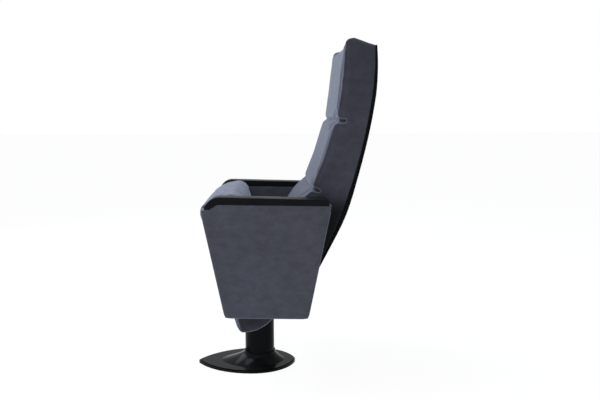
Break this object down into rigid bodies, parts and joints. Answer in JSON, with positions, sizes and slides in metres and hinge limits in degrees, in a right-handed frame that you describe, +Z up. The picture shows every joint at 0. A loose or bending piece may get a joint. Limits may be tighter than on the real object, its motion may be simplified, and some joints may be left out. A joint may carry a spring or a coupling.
{
  "type": "tip up auditorium seat",
  "caption": "High-backed upholstered auditorium seat with padded side panels and armrests; the spring-return seat tips up on concealed hinges; one round post on a pointed oval foot",
  "frame": {"origin": "on the floor, on the axis of the post, which is the centre of the four anchor holes", "axes": "+Z up, +X to the sitter's left, the sitter looks along -Y"},
  "size_m": [0.62, 0.599, 1.116],
  "materials": {
    "dark_upholstery": "matte",
    "light_upholstery": "matte",
    "armrest_black": "satin",
    "gloss_black_moulding": "gloss",
    "black_moulding": "satin",
    "gloss_black_steel": "gloss",
    "black_steel": "satin",
    "plywood": "matte",
    "bright_steel": "satin",
    "zinc_screws": "satin",
    "bearing_nylon": "satin",
    "rubber_buffer": "matte"
  },
  "bodies": {
    "stand": {"armrest_left": "armrest_black", "armrest_right": "armrest_black", "armrest_screws": "zinc_screws", "back_board": "plywood", "back_bolts": "zinc_screws", "back_bracket_left": "black_steel", "back_bracket_right": "black_steel", "back_core": "dark_upholstery", "back_cushion": "light_upholstery", "back_rail_lower": "black_steel", "back_rail_upper": "black_steel", "back_shell": "black_moulding", "back_upright_left": "black_steel", "back_upright_right": "black_steel", "base_cover": "gloss_black_moulding", "beam_bolts": "zinc_screws", "cross_beam": "gloss_black_steel", "floor_plate": "gloss_black_steel", "head_screws": "zinc_screws", "headrest_cushion": "light_upholstery", "hinge_bushes_left": "bearing_nylon", "hinge_bushes_right": "bearing_nylon", "hinge_housing_left": "black_steel", "hinge_housing_right": "black_steel", "lumbar_cushion": "light_upholstery", "pedestal_post": "gloss_black_steel", "post_head": "gloss_black_steel", "post_top_plate": "gloss_black_steel", "return_spring_left": "bright_steel", "return_spring_right": "bright_steel", "shell_screws": "zinc_screws", "side_core_left": "plywood", "side_core_right": "plywood", "side_cover_left": "dark_upholstery", "side_cover_right": "dark_upholstery", "side_frame_left": "black_steel", "side_frame_right": "black_steel", "side_lining_left": "dark_upholstery", "side_lining_right": "dark_upholstery", "stop_sleeve_left": "rubber_buffer", "stop_sleeve_right": "rubber_buffer", "stop_stud_left": "bright_steel", "stop_stud_right": "bright_steel"},
    "seat": {"hinge_pin_left": "bright_steel", "hinge_pin_right": "bright_steel", "hinge_plate_left": "black_steel", "hinge_plate_right": "black_steel", "seat_board": "plywood", "seat_cushion": "light_upholstery", "seat_screws": "zinc_screws", "seat_tube_front": "black_steel", "seat_tube_rear": "black_steel", "seat_underside": "dark_upholstery"}
  },
  "joints": [
    {"name": "seat_tip", "type": "hinge", "parent": "stand", "child": "seat", "pos_m": [0, -0.0745, 0.3605], "axis": [1, 0, 0], "range_deg": [0, 70], "stiffness_Nm_per_rad": 3, "springref_deg": -51.57, "deforming": ["return_spring_left", "return_spring_right"]}
  ]
}
